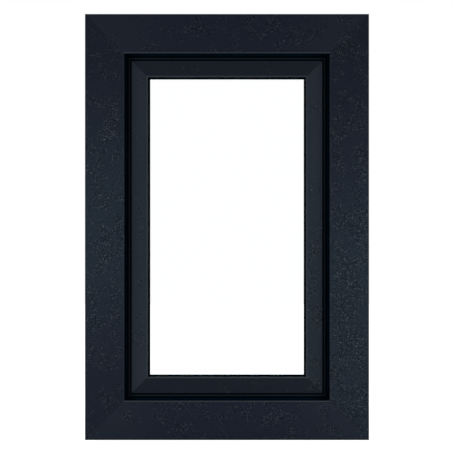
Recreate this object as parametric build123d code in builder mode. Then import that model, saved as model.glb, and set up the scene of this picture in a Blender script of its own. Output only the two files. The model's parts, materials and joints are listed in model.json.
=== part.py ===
"""Inward-opening PVC window with one sash.

A welded frame, a welded sash, clipped glazing beads, a sealed glass unit, seals, hinges and a handle.
Millimetres. X runs along the width, Y from the outside (-Y) to the room (+Y), and Z up.
The origin is at the middle of the frame's underside, half way through the frame's depth.
Every profile is drawn once as a section and mitred round the four sides. In a section the first
coordinate is measured across the profile, from the window's outer edge towards the glass, and
the second is the depth Y.
"""

import os

from build123d import *

# Overall size
window_width = 500.0
window_height = 750.0

# Walls of the hollow profiles
outer_wall = 3.0
web = 1.4
bead_wall = 1.6
edge_radius = 0.8

# Frame profile
frame_depth = 70.0
frame_face = 70.0  # outside face, from the window's outer edge to the sight edge
frame_sight_radius = 2.6
stop_leg_height = 24.0
stop_leg_thickness = 18.0
rebate_fall = 2.0  # the rebate floor drops towards the outside, so that water runs out
face_chamber = 8.0
buffer_chamber = 7.0
key_groove_depth = 3.0
key_groove_taper = 1.0

# Sash profile
sash_setback = 16.0  # how far the sash's outside stands behind the frame's
sash_view = 41.0  # what shows of the sash beside the frame, seen from outside
hardware_gap = 12.0  # air gap between the frame's rebate and the sash's back
lap_height = 8.0  # how far the sash covers the frame on the room side
lap_thickness = 12.5
lap_radius = 2.5
shadow_gap = 6.0  # recessed strip beside the frame's sight edge
ridge_width = 3.2
ridge_setback = 1.6
ridge_outer_radius = 1.2
ridge_inner_radius = 0.8
quirk_width = 2.4
quirk_setback = 4.6
face_fall = 4.0  # the sash face slopes back towards the glass
face_edge_radius = 0.9
sash_sight_radius = 2.0
glass_leg_thickness = 11.0
glass_rebate_height = 20.0
sash_front_chamber = 7.5
sash_buffer_chamber = 7.0
sash_room_chamber = 11.8

# Groove for the locking gear in the sash's back
gear_groove_width = 16.0
gear_groove_step = 3.0
gear_groove_setback = 5.0
rod_groove_width = 12.0
rod_groove_depth = 7.0
gear_play = 0.15
gear_corner_gap = 4.0

# Steel tubes in the frame and the sash
steel_wall = 1.5
steel_clearance = 0.4
steel_end_gap = 12.0

# Sealed glass unit
pane_thickness = 4.0
pane_arris = 0.4
cavity = 16.0
glass_edge_gap = 5.0
spacer_height = 7.0
spacer_inset = 4.5
spacer_bevel = 2.2
spacer_wall = 0.9
block_length = 80.0
block_end_gap = 40.0

# Glazing bead
bead_set_down = 1.0  # the bead stands this far back from the sash's room face
bead_flat = 11.0
bead_nose = 9.0
bead_nose_radius = 3.0
bead_shoulder_radius = 5.0
bead_foot_width = 4.2
bead_foot_depth = 5.5
bead_foot_setback = 9.0
bead_slot_clearance = 0.3

# Gaskets
stop_gasket_gap = 3.5
stop_gasket_lip = 4.2  # what shows of the gasket beside the frame's sight edge
stop_gasket_width = 12.6
stop_gasket_nose = 0.6
lap_gasket_gap = 3.5
lap_gasket_inset = 1.0
lap_gasket_width = 6.6
glazing_gasket_gap = 4.0
glazing_gasket_lip = 3.4  # what shows of the gasket between sash and glass
glazing_gasket_foot = 1.0
bead_gasket_lip = 2.6
bead_gasket_foot = 0.6
gasket_width = 10.0  # without the lip
gasket_lip_thickness = 1.4
gasket_lip_radius = 0.8
gasket_root_width = 2.8
gasket_root_depth = 2.8
gasket_root_setback = 4.5
gasket_root_clearance = 0.2

# Handle
handle_backset = 15.0  # from the sash's back to the spindle
rose_width = 32.0
rose_height = 68.0
rose_thickness = 10.5
rose_corner_radius = 9.0
rose_edge_chamfer = 1.5
neck_diameter = 19.0
neck_length = 25.0
neck_collar = 16.0
neck_taper = 4.0  # degrees
elbow_radius = 15.0
grip_width = 20.0
grip_thickness = 11.0
grip_edge_chamfer = 3.0
grip_length = 122.0  # from the spindle to the tip
grip_tip_drop = 5.0
grip_tip_chamfer = 2.0

# Hinges
hinge_axis_across = 27.5  # from the window's outer edge
hinge_axis_out = 12.0  # from the frame's room face
knuckle_diameter = 17.0
knuckle_gap = 0.4
knuckle_chamfer = 1.2
leaf_thickness = 3.5
leaf_corner_radius = 2.0
frame_leaf_width = 23.0
frame_leaf_edge_gap = 1.2  # to the sash's lap
sash_leaf_reach = 28.0
hinge_height = 64.0
hinge_end_gap = 42.0  # from the window's end to the hinge
lower_hinge_knuckle = 30.0
upper_hinge_knuckle = 15.0

# Depths, from the outside to the room
outside = -frame_depth / 2
inside = frame_depth / 2
stop_leg_back = outside + stop_leg_thickness
sash_seat = stop_leg_back + stop_gasket_gap
lap_back = inside + lap_gasket_gap
sash_inside = lap_back + lap_thickness
sash_outside = outside + sash_setback
ridge_front = sash_outside + ridge_setback
quirk_bottom = sash_outside + quirk_setback
glass_leg_back = sash_outside + glass_leg_thickness
outer_pane_front = glass_leg_back + glazing_gasket_gap
cavity_front = outer_pane_front + pane_thickness
cavity_back = cavity_front + cavity
inner_pane_back = cavity_back + pane_thickness
bead_front = inner_pane_back + glazing_gasket_gap
bead_inside = sash_inside - bead_set_down
bead_foot_inside = sash_inside - bead_foot_setback
gear_groove_inside = lap_back - gear_groove_setback
gear_groove_outside = gear_groove_inside - gear_groove_width
rod_margin = (gear_groove_width - rod_groove_width) / 2

# Distances across the profiles, from the window's outer edge
rebate = frame_face - stop_leg_height
sash_back = rebate + hardware_gap
lap_edge = rebate - lap_height
sash_sight = frame_face + sash_view
ridge_start = frame_face + shadow_gap
quirk_start = ridge_start + ridge_width
face_start = quirk_start + quirk_width
glass_rebate = sash_sight - glass_rebate_height
glass_edge = glass_rebate + glass_edge_gap
spacer_back = glass_edge + spacer_inset
spacer_front = spacer_back + spacer_height
gear_groove_bottom = sash_back + gear_groove_step
rod_groove_bottom = gear_groove_bottom + rod_groove_depth
bead_slot_bottom = glass_rebate - bead_foot_depth - bead_slot_clearance
bead_tip = sash_sight - bead_set_down

# Each gasket's root starts here, across the profile that holds it
stop_root = frame_face - gasket_root_setback
glazing_root = sash_sight - gasket_root_setback
bead_root = bead_tip - gasket_root_setback
lap_root = lap_edge + lap_gasket_inset + gasket_root_clearance
gasket_groove_width = gasket_root_width + gasket_root_clearance
gasket_groove_depth = gasket_root_depth + gasket_root_clearance


def gasket_groove(start, face, into, inwards):
    """Corners of the groove that a gasket's root clips into, from start; into and inwards are 1 or -1."""
    far = start + inwards * gasket_groove_width
    bottom = face + into * gasket_groove_depth
    return [(start, face), (start, bottom), (far, bottom), (far, face)]


def gasket_root(start, face, into, inwards):
    """Corners of the root that stands in the middle of gasket_groove's groove."""
    near = start + inwards * gasket_root_clearance / 2
    far = near + inwards * gasket_root_width
    bottom = face + into * gasket_root_depth
    return [(near, face), (near, bottom), (far, bottom), (far, face)]


def chamber(near, far, front, back):
    """Corners of a four-sided chamber; far is one distance, or one for the front and one for the back."""
    far_front, far_back = far if isinstance(far, tuple) else (far, far)
    return [(near, front), (far_front, front), (far_back, back), (near, back)]


def row_of_chambers(start, widths):
    """The front and back depth of chambers that lie one behind the other, with a web between."""
    depths = []
    for width in widths:
        depths.append((start, start + width))
        start += width + web
    return depths


# Rows of chambers, from the outside to the room
steel_chamber = frame_depth - 2 * (outer_wall + face_chamber + buffer_chamber + 2 * web)
frame_rows = row_of_chambers(
    outside + outer_wall,
    [face_chamber, buffer_chamber, steel_chamber, buffer_chamber, face_chamber],
)
sash_walls = 2 * outer_wall + 3 * web
sash_side_rows = sash_front_chamber + sash_buffer_chamber + sash_room_chamber
sash_steel_chamber = sash_inside - sash_seat - sash_walls - sash_side_rows
sash_rows = row_of_chambers(
    sash_seat + outer_wall,
    [sash_front_chamber, sash_buffer_chamber, sash_steel_chamber, sash_room_chamber],
)


def rebate_floor(depth):
    """How far across the frame its sloping rebate floor is at a depth."""
    return rebate - rebate_fall * (inside - depth) / (inside - stop_leg_back)


def sash_face(across):
    """The depth of the sash's sloping outside face at a distance across."""
    return sash_outside + face_fall * (across - face_start) / (sash_sight - face_start)


def key_groove(front, back):
    """Corners of a shallow groove in the frame's back, which sills and couplings clip into."""
    return [
        (0, back),
        (key_groove_depth, back - key_groove_taper),
        (key_groove_depth, front + key_groove_taper),
        (0, front),
    ]


def frame_section():
    """L-shaped frame: the tall stop leg is on the outside, and the rebate opens to the room."""
    return [
        (0, outside, edge_radius),
        (frame_face, outside, frame_sight_radius),
        (frame_face, stop_leg_back, edge_radius),
        *gasket_groove(stop_root, stop_leg_back, -1, -1),
        (rebate_floor(stop_leg_back), stop_leg_back, edge_radius),
        (rebate, inside, edge_radius),
        (0, inside, edge_radius),
        *key_groove(*frame_rows[3]),
        *key_groove(*frame_rows[1]),
    ]


def frame_chambers():
    """Five rows of chambers, the middle one for the steel, and one more chamber in the stop leg."""
    floor_of_leg = rebate_floor(stop_leg_back) - outer_wall
    chambers = {
        "leg": chamber(floor_of_leg + web, frame_face - outer_wall, *frame_rows[0]),
        "face": chamber(outer_wall, floor_of_leg, *frame_rows[0]),
    }
    for name, (front, back) in zip(("outer_buffer", "steel", "inner_buffer", "room"), frame_rows[1:]):
        near = outer_wall if name in ("steel", "room") else outer_wall + key_groove_depth
        far = (rebate_floor(max(front, stop_leg_back)) - outer_wall, rebate_floor(back) - outer_wall)
        chambers[name] = chamber(near, far, front, back)
    return chambers


def sash_section():
    """Z-shaped sash: its lap covers the frame in the room, and its glass leg is on the outside."""
    slot_outside = bead_foot_inside - bead_foot_width - 2 * bead_slot_clearance
    return [
        (sash_back, sash_seat, edge_radius),
        (ridge_start, sash_seat),
        (ridge_start, ridge_front, ridge_outer_radius),
        (quirk_start, ridge_front, ridge_inner_radius),
        (quirk_start, quirk_bottom),
        (face_start, quirk_bottom),
        (face_start, sash_outside, face_edge_radius),
        (sash_sight, sash_face(sash_sight), sash_sight_radius),
        (sash_sight, glass_leg_back, edge_radius),
        *gasket_groove(glazing_root, glass_leg_back, -1, -1),
        (glass_rebate, glass_leg_back),
        (glass_rebate, slot_outside),
        (bead_slot_bottom, slot_outside),
        (bead_slot_bottom, bead_foot_inside),
        (glass_rebate, bead_foot_inside),
        (glass_rebate, sash_inside, edge_radius),
        (lap_edge, sash_inside, lap_radius),
        (lap_edge, lap_back, edge_radius),
        *gasket_groove(lap_root, lap_back, 1, 1),
        (sash_back, lap_back),
        (sash_back, gear_groove_inside),
        (gear_groove_bottom, gear_groove_inside),
        (gear_groove_bottom, gear_groove_inside - rod_margin),
        (rod_groove_bottom, gear_groove_inside - rod_margin),
        (rod_groove_bottom, gear_groove_outside + rod_margin),
        (gear_groove_bottom, gear_groove_outside + rod_margin),
        (gear_groove_bottom, gear_groove_outside),
        (sash_back, gear_groove_outside),
    ]


def sash_chambers():
    """Four rows of chambers, with the steel beside the gear groove, and others in the leg and the lap."""
    near = sash_back + outer_wall
    far = glass_rebate - outer_wall
    steel_near = rod_groove_bottom + outer_wall
    room_far = bead_slot_bottom - outer_wall
    leg_near = face_start + outer_wall
    leg_far = glazing_root - gasket_groove_width - outer_wall
    leg_back = sash_rows[0][0] - web
    lap_near = lap_root + gasket_groove_width + outer_wall
    return {
        "front": chamber(near, far, *sash_rows[0]),
        "buffer": chamber(near, far, *sash_rows[1]),
        "steel": chamber(steel_near, far, *sash_rows[2]),
        "room": chamber(near, room_far, *sash_rows[3]),
        "beside_gear": chamber(near, steel_near - web, sash_rows[2][0], gear_groove_outside - web),
        "lap": chamber(lap_near, near - web, lap_back + gasket_groove_depth, sash_rows[3][1]),
        "leg": [
            (leg_near, sash_face(leg_near) + outer_wall),
            (leg_far, sash_face(leg_far) + outer_wall),
            (leg_far, leg_back),
            (leg_near, leg_back),
        ],
    }


def bead_section():
    """Glazing bead: its foot clips into the sash, and its room face rounds down to the glass."""
    foot_bottom = glass_rebate - bead_foot_depth
    foot_inside = bead_foot_inside - bead_slot_clearance
    foot_outside = foot_inside - bead_foot_width
    return [
        (glass_rebate, bead_front),
        *reversed(gasket_groove(bead_root, bead_front, 1, -1)),
        (bead_tip, bead_front),
        (bead_tip, bead_front + bead_nose, bead_nose_radius),
        (glass_rebate + bead_flat, bead_inside, bead_shoulder_radius),
        (glass_rebate, bead_inside, edge_radius),
        (glass_rebate, foot_inside),
        (foot_bottom, foot_inside),
        (foot_bottom, foot_outside),
        (glass_rebate, foot_outside),
    ]


def bead_chamber():
    """The bead's one hollow, which follows its sloping face."""
    near = glass_rebate + bead_wall
    front = bead_front + gasket_groove_depth + bead_wall
    back = bead_inside - bead_wall
    return [
        (near, front),
        (bead_tip - bead_wall, front),
        (bead_tip - bead_wall, bead_front + bead_nose - bead_wall / 2),
        (glass_rebate + bead_flat - bead_wall, back),
        (near, back),
    ]


def stop_gasket_section():
    """Seal on the back of the frame's stop leg, which the closed sash presses on."""
    lip = frame_face + stop_gasket_lip
    return [
        (lip - stop_gasket_width, sash_seat),
        (lip, sash_seat, gasket_lip_radius),
        (lip, stop_leg_back + stop_gasket_nose, gasket_lip_radius),
        (frame_face - edge_radius, stop_leg_back),
        *gasket_root(stop_root, stop_leg_back, -1, -1),
        (lip - stop_gasket_width, stop_leg_back),
    ]


def lap_gasket_section():
    """Seal under the sash's lap, which bears on the frame's room face."""
    start = lap_edge + lap_gasket_inset
    end = start + lap_gasket_width
    return [
        (start, inside, gasket_lip_radius),
        (end, inside, gasket_lip_radius),
        (end, lap_back),
        *reversed(gasket_root(lap_root, lap_back, 1, 1)),
        (start, lap_back),
    ]


def glazing_gasket_section():
    """Outside glazing seal: it clips into the glass leg and tapers out past it to the pane."""
    lip = sash_sight + glazing_gasket_lip
    return [
        (sash_sight - gasket_width, outer_pane_front),
        (lip, outer_pane_front),
        (lip, outer_pane_front - gasket_lip_thickness, gasket_lip_radius),
        (sash_sight + glazing_gasket_foot, glass_leg_back),
        *gasket_root(glazing_root, glass_leg_back, -1, -1),
        (sash_sight - gasket_width, glass_leg_back),
    ]


def bead_gasket_section():
    """Room-side glazing seal, between the bead and the inner pane."""
    lip = bead_tip + bead_gasket_lip
    return [
        (bead_tip - gasket_width, inner_pane_back),
        (lip, inner_pane_back),
        (lip, inner_pane_back + gasket_lip_thickness, gasket_lip_radius),
        (bead_tip + bead_gasket_foot, bead_front),
        *gasket_root(bead_root, bead_front, 1, -1),
        (bead_tip - gasket_width, bead_front),
    ]


def spacer_outline(inset=0.0):
    """Spacer bar between the panes, bevelled on its hidden back; inset draws its bore."""
    back = spacer_back + inset
    outside_face = cavity_front + inset
    inside_face = cavity_back - inset
    bevel = spacer_bevel - inset / 2
    return [
        (spacer_front - inset, outside_face),
        (spacer_front - inset, inside_face),
        (back + bevel, inside_face),
        (back, inside_face - bevel),
        (back, outside_face + bevel),
        (back + bevel, outside_face),
    ]


def gear_rail_section():
    """Faceplate and drive rod of the locking gear, which fill the groove in the sash's back."""
    inner = gear_groove_inside - gear_play
    outer = gear_groove_outside + gear_play
    bottom = rod_groove_bottom - gear_play
    return [
        (sash_back, inner),
        (gear_groove_bottom, inner),
        (gear_groove_bottom, inner - rod_margin),
        (bottom, inner - rod_margin),
        (bottom, outer + rod_margin),
        (gear_groove_bottom, outer + rod_margin),
        (gear_groove_bottom, outer),
        (sash_back, outer),
    ]


def steel_tube(corners):
    """Outline and bore of the rectangular tube that slides into a chamber with these corners."""
    near = corners[0][0]
    far = min(corners[1][0], corners[2][0])
    front = corners[0][1]
    back = corners[2][1]
    return [
        chamber(near + gap, far - gap, front + gap, back - gap)
        for gap in (steel_clearance, steel_clearance + steel_wall)
    ]


# Each side of the window has its own section plane: x across the profile towards the glass,
# y along the depth, and the plane's normal along the side.
sides = {
    "top": Plane((0, 0, window_height), x_dir=(0, 0, -1), z_dir=(1, 0, 0)),
    "bottom": Plane((0, 0, 0), x_dir=(0, 0, 1), z_dir=(-1, 0, 0)),
    "left": Plane((-window_width / 2, 0, window_height / 2), x_dir=(1, 0, 0), z_dir=(0, 0, 1)),
    "right": Plane((window_width / 2, 0, window_height / 2), x_dir=(-1, 0, 0), z_dir=(0, 0, -1)),
}
half_lengths = {
    "top": window_width / 2,
    "bottom": window_width / 2,
    "left": window_height / 2,
    "right": window_height / 2,
}


def mitre_planes(side):
    """The two 45 degree planes, through the window's corners, that end every profile of a side."""
    section_plane = sides[side]
    for end in (1, -1):
        corner = section_plane.origin + section_plane.z_dir * (end * half_lengths[side])
        yield Plane(corner, x_dir=(0, 1, 0), z_dir=-section_plane.x_dir - section_plane.z_dir * end)


def profile_sketch(section_plane, outlines):
    """A sketch of the first outline with the others cut out; a corner's third value is its radius."""
    with BuildSketch(section_plane) as section:
        for outline in outlines:
            with BuildLine():
                points = [(across, depth) for across, depth, *radius in outline]
                radii = [radius[0] if radius else 0 for across, depth, *radius in outline]
                FilletPolyline(*points, radius=radii, close=True)
            make_face(mode=Mode.ADD if outline is outlines[0] else Mode.SUBTRACT)
    return section.sketch


def mitred_profile(name, side, outlines):
    """A length of profile along one side, with both ends mitred."""
    with BuildPart() as profile:
        extrude(profile_sketch(sides[side], outlines), amount=half_lengths[side], both=True)
        for mitre in mitre_planes(side):
            split(bisect_by=mitre, keep=Keep.TOP)
    profile.part.label = name
    return profile.part


def square_lengths(name, outlines, end_cut):
    """Four bars, one along each side, sawn square and ending this far from the window's edges."""
    with BuildPart() as bars:
        for side, section_plane in sides.items():
            extrude(
                profile_sketch(section_plane, outlines),
                amount=half_lengths[side] - end_cut,
                both=True,
            )
    bars.part.label = name
    return bars.part


profiles = {
    "frame": [frame_section(), *frame_chambers().values()],
    "sash": [sash_section(), *sash_chambers().values()],
    "bead": [bead_section(), bead_chamber()],
    "stop_gasket": [stop_gasket_section()],
    "lap_gasket": [lap_gasket_section()],
    "glazing_gasket": [glazing_gasket_section()],
    "bead_gasket": [bead_gasket_section()],
    "spacer": [spacer_outline(), spacer_outline(spacer_wall)],
}
parts = [
    mitred_profile(f"{piece}_{side}", side, outlines)
    for piece, outlines in profiles.items()
    for side in sides
]

# The steels stop short of the welds, and the gear rails of its corner drives
for name, corners in (
    ("frame_steels", frame_chambers()["steel"]),
    ("sash_steels", sash_chambers()["steel"]),
):
    tube = steel_tube(corners)
    tube_far = tube[0][1][0]
    parts.append(square_lengths(name, tube, tube_far + steel_end_gap))
parts.append(square_lengths("gear_rails", [gear_rail_section()], rod_groove_bottom + gear_corner_gap))


def room_plane(across, depth, height):
    """A plane facing the room, with its x towards -X and its y up."""
    return Plane((across, depth, height), x_dir=(-1, 0, 0), z_dir=(0, 1, 0))


def glass_pane(name, front):
    """One pane of the sealed unit, with arrissed edges."""
    with BuildPart() as pane:
        with BuildSketch(room_plane(0, front, window_height / 2)):
            Rectangle(window_width - 2 * glass_edge, window_height - 2 * glass_edge)
        extrude(amount=pane_thickness)
        chamfer(pane.edges(), length=pane_arris)
    pane.part.label = name
    return pane.part


parts.append(glass_pane("outer_pane", outer_pane_front))
parts.append(glass_pane("inner_pane", cavity_back))

# Two setting blocks on the sash's rebate carry the glass unit
block_centre = window_width / 2 - glass_edge - block_end_gap - block_length / 2
unit_thickness = inner_pane_back - outer_pane_front
with BuildPart() as setting_blocks:
    with BuildSketch(Plane.XY.offset(glass_rebate)):
        with Locations((block_centre, outer_pane_front), (-block_centre, outer_pane_front)):
            Rectangle(block_length, unit_thickness, align=(Align.CENTER, Align.MIN))
    extrude(amount=glass_edge_gap)
setting_blocks.part.label = "setting_blocks"
parts.append(setting_blocks.part)

# Handle on the sash's closing side, which is the left one seen from outside
handle_x = -window_width / 2 + sash_back + handle_backset
handle_z = window_height / 2
rose_front = sash_inside + rose_thickness
grip_y = rose_front + neck_length + grip_thickness / 2

with BuildPart() as handle_rose:
    with BuildSketch(room_plane(handle_x, sash_inside, handle_z)):
        RectangleRounded(rose_width, rose_height, rose_corner_radius)
    extrude(amount=rose_thickness)
    chamfer(handle_rose.faces().sort_by(Axis.Y)[-1].edges(), length=rose_edge_chamfer)
handle_rose.part.label = "handle_rose"
parts.append(handle_rose.part)

with BuildPart() as handle_lever:
    with BuildLine(Plane.YZ.offset(handle_x)):
        FilletPolyline(
            (rose_front, handle_z),
            (grip_y, handle_z),
            (grip_y - grip_tip_drop, handle_z - grip_length),
            radius=elbow_radius,
        )
    with BuildSketch(room_plane(handle_x, rose_front, handle_z)) as grip:
        Rectangle(grip_width, grip_thickness)
        chamfer(grip.vertices(), length=grip_edge_chamfer)
    sweep()
    chamfer(handle_lever.faces().sort_by(Axis.Z)[0].edges(), length=grip_tip_chamfer)
    with BuildSketch(room_plane(handle_x, rose_front, handle_z)):
        Circle(neck_diameter / 2)
    extrude(amount=neck_collar, taper=neck_taper)
handle_lever.part.label = "handle_lever"
parts.append(handle_lever.part)

# Hinges on the other side, in the room
hinge_x = window_width / 2 - hinge_axis_across
hinge_y = inside + hinge_axis_out
knuckle_radius = knuckle_diameter / 2
frame_leaf_x = window_width / 2 - lap_edge + frame_leaf_edge_gap + frame_leaf_width / 2
sash_leaf_x = hinge_x - knuckle_radius - sash_leaf_reach / 2


def frame_leaf(name, foot, knuckles):
    """The hinge leaf on the frame: a plate, and a barrel on a neck for each (low, high) in knuckles."""
    with BuildPart() as leaf:
        for low, high in knuckles:
            with BuildSketch(Plane.XY.offset(low)):
                with Locations((hinge_x, hinge_y)):
                    Circle(knuckle_radius)
            extrude(amount=high - low)
        chamfer(leaf.edges().filter_by(GeomType.CIRCLE), length=knuckle_chamfer)
        for low, high in knuckles:
            with BuildSketch(Plane.XY.offset(low + knuckle_chamfer)):
                with Locations((hinge_x, inside)):
                    Rectangle(knuckle_diameter, hinge_axis_out, align=(Align.CENTER, Align.MIN))
            extrude(amount=high - low - 2 * knuckle_chamfer)
        with BuildSketch(room_plane(frame_leaf_x, inside, foot + hinge_height / 2)):
            RectangleRounded(frame_leaf_width, hinge_height, leaf_corner_radius)
        extrude(amount=leaf_thickness)
    leaf.part.label = name
    return leaf.part


def sash_leaf(name, foot, low, high):
    """The hinge leaf on the sash: a plate on its room face, joined to one barrel by a tongue."""
    with BuildPart() as leaf:
        with BuildSketch(Plane.XY.offset(low)):
            with Locations((hinge_x, hinge_y)):
                Circle(knuckle_radius)
        extrude(amount=high - low)
        chamfer(leaf.edges().filter_by(GeomType.CIRCLE), length=knuckle_chamfer)
        with BuildSketch(room_plane(hinge_x, sash_inside, low + knuckle_chamfer)):
            Rectangle(
                hinge_x - sash_leaf_x,
                high - low - 2 * knuckle_chamfer,
                align=(Align.MIN, Align.MIN),
            )
        extrude(amount=leaf_thickness)
        with BuildSketch(room_plane(sash_leaf_x, sash_inside, foot + hinge_height / 2)):
            RectangleRounded(sash_leaf_reach, hinge_height, leaf_corner_radius)
        extrude(amount=leaf_thickness)
    leaf.part.label = name
    return leaf.part


lower_foot = hinge_end_gap
lower_top = lower_foot + hinge_height
lower_split = lower_foot + lower_hinge_knuckle
upper_foot = window_height - hinge_end_gap - hinge_height
upper_top = upper_foot + hinge_height
upper_low_end = upper_foot + upper_hinge_knuckle
upper_high_end = upper_top - upper_hinge_knuckle

parts.append(frame_leaf("lower_hinge_frame_leaf", lower_foot, [(lower_foot, lower_split)]))
parts.append(sash_leaf("lower_hinge_sash_leaf", lower_foot, lower_split + knuckle_gap, lower_top))
parts.append(
    frame_leaf(
        "upper_hinge_frame_leaf",
        upper_foot,
        [(upper_foot, upper_low_end), (upper_high_end, upper_top)],
    )
)
parts.append(
    sash_leaf(
        "upper_hinge_sash_leaf",
        upper_foot,
        upper_low_end + knuckle_gap,
        upper_high_end - knuckle_gap,
    )
)

os.makedirs("parts", exist_ok=True)
for part in parts:
    export_step(part, f"parts/{part.label}.step")
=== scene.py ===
"""Looks of a PVC window, laid out as an add-on and run as a script round its packed CAD frame."""

import json
import math

import bmesh
import bpy
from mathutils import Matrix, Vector
from mathutils.geometry import interpolate_bezier

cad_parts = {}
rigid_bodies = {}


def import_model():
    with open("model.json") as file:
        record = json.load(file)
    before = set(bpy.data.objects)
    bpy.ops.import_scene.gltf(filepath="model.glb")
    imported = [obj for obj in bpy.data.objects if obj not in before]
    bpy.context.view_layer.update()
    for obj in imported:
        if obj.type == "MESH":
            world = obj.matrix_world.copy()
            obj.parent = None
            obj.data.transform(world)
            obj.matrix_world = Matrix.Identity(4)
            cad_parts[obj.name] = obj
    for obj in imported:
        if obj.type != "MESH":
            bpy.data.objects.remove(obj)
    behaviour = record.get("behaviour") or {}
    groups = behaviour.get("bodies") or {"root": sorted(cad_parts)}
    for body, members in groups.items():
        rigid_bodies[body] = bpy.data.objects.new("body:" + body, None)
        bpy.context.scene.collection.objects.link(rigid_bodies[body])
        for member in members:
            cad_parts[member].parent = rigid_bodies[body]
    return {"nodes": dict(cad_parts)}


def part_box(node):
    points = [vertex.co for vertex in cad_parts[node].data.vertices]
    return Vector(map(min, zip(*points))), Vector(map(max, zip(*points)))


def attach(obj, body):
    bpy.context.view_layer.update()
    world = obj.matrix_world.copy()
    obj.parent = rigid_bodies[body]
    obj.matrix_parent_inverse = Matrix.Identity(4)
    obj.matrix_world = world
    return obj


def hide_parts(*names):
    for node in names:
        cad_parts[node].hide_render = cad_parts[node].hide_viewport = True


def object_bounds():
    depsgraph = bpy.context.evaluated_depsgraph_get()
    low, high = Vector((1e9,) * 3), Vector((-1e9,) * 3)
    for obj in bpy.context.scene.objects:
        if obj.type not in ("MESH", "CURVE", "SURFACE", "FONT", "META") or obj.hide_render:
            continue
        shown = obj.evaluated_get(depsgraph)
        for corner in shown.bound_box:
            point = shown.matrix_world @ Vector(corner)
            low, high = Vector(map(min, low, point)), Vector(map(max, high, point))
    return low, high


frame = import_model()
cad_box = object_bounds()

bl_info = {
    "name": "PVC Window Finishes",
    "version": (1, 0, 0),
    "blender": (4, 5, 0),
    "location": "3D View > Sidebar > Window",
    "description": "Foil, seals, glass, hardware and studio for an inward-opening PVC window",
    "category": "Object",
}

MM = 0.001
SIDES = ("top", "bottom", "left", "right")
RAILS = ("top", "bottom")
JAMBS = ("left", "right")
HINGE_ENDS = ("lower", "upper")

# The window's outline, read from the CAD box
window_low, window_high = cad_box
window_centre_z = (window_low.z + window_high.z) / 2
half_width = (window_high.x - window_low.x) / 2
half_height = (window_high.z - window_low.z) / 2
outside_y = window_low.y
half_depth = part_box("frame_left")[1].y

# The foils: name, pieces, sides, tone, tone at the ends, share with specks, and how much of the
# painted highlight shows at the frame's sight edge; the tones are lit and shaded copies of one foil
FOILS = (
    ("jamb_foil", ("frame", "bead"), JAMBS, "jamb_lit_tone", "jamb_end_shaded_tone", 0.50, 0.15),
    ("rail_foil", ("frame", "bead"), RAILS, "rail_shaded_tone", "rail_end_lit_tone", 0.44, 0.9),
    ("sash_jamb_foil", ("sash",), JAMBS, "sash_jamb_lit_tone", "sash_end_lit_tone", 0.43, 1.0),
    ("sash_rail_foil", ("sash",), RAILS, "sash_rail_shaded_tone", "sash_rail_shaded_tone", 0.36, 1.0),
)
UPRIGHT_GRAIN = (1, 1, 0.6)
LEVEL_GRAIN = (0.6, 1, 1)

# Painted light: where the foil's tone turns into its end tone, from a side's middle, as the side lamps'
# light changes along the side
RAIL_FADE = (0.10, 0.20)
JAMB_FADE = (0.08, 0.27)
# Painted light: the pool of painted light on the right jamb lies lower, like the right lamp
RIGHT_JAMB_DROP = 0.16  # how much lower the right jamb's middle tone lies
RIGHT_JAMB_STRETCH = 0.7  # below 1, its fade is longer
MIDDLE_STRIP = 0.1  # half the strip in which left turns into right

# Specks of the foil, as shares of its cells and of its clusters; the pale ones are partly grain and partly
# painted glints of the side lamps
MORE_AT_RIGHT = 0.04
FEWER_AT_ENDS = 0.06
CLUSTER_SOFTNESS = 0.09
PALE_CELLS = (0.86, 0.94)
DARK_CELLS = (0.44, 0.30)
DARK_SHADE = 0.45

# How the foil's grain shows
GRAIN_SHADES = (0.34, 0.68, 0.95, 1.05)  # noise from and to, and its darker and lighter factor
FOIL_ROUGHNESS = (0.58, 0.42)
FOIL_SPECULAR = 0.05
NOISE_SPAN = (0.3, 0.7)  # most of a noise's values lie in it

# Bands across the profiles
BAND_SOFTNESS = 0.15 * MM
OUTDOOR_LIMIT = (-8 * MM, -7 * MM)  # the outside faces end at this depth
FOIL_WRAP = (2 * MM, 1 * MM)  # how far the foil is folded round outer edges
RIDGE_OVERLAP = 0.5 * MM
EDGE_OVERLAP = 1 * MM
WELD_FADE = (0.35, 0.7)  # shares of the weld line's width in which it fades

# Glass
SEAM_WIDTH = 0.6 * MM
SEAM_ROUGHNESS = 0.45
SEAM_TONE = (0.55, 0.80, 0.68)

# Spacer
SLIT_ROWS = (-0.2, 0.2)  # shares of the spacer's depth from its middle
SLIT_MARGIN = 3 * MM
SLIT_THICKNESS = 0.1 * MM
SLIT_TONE = (0.02, 0.02, 0.02)

# Heads of screws and pins
SCREW_ROOT = 0.4 * MM  # how deep a head's side goes into the leaf
SCREW_OUTLINE = ((1.0, 0.35), (0.86, 0.72), (0.5, 1.0))  # shares of radius and height
SCREW_SEGMENTS = 24
SCREW_SPOTS = (0.16, 0.5, 0.84)  # shares of the leaf's height
RECESS_LENGTH = 0.55  # beside the head's diameter
RECESS_DEPTH = 2.2  # beside the head's height, half of it above the leaf
TURN_SEED = 7
PIN_ROOT = 0.3 * MM
PIN_SEGMENTS = 28
DOME_STEPS = 6

# The lever's centre line
NECK_SHARE = 0.95  # the neck's width beside the grip's
NECK_RUN = 12 * MM  # straight out from the rose
BEND_DROP = 20 * MM  # from the spindle down to the bend's end
BEND_PULL = 13 * MM  # how far the bend keeps the direction of neck and grip
BEND_BULGE = 0.3 * MM
GRIP_INSET = 5.6 * MM  # from the lever's outermost side to its centre line
GRIP_LEAN = 4 * MM  # the tip stands this much nearer to the sash
NECK_STEPS = 4
BEND_STEPS = 14
GRIP_STEPS = 28

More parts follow.
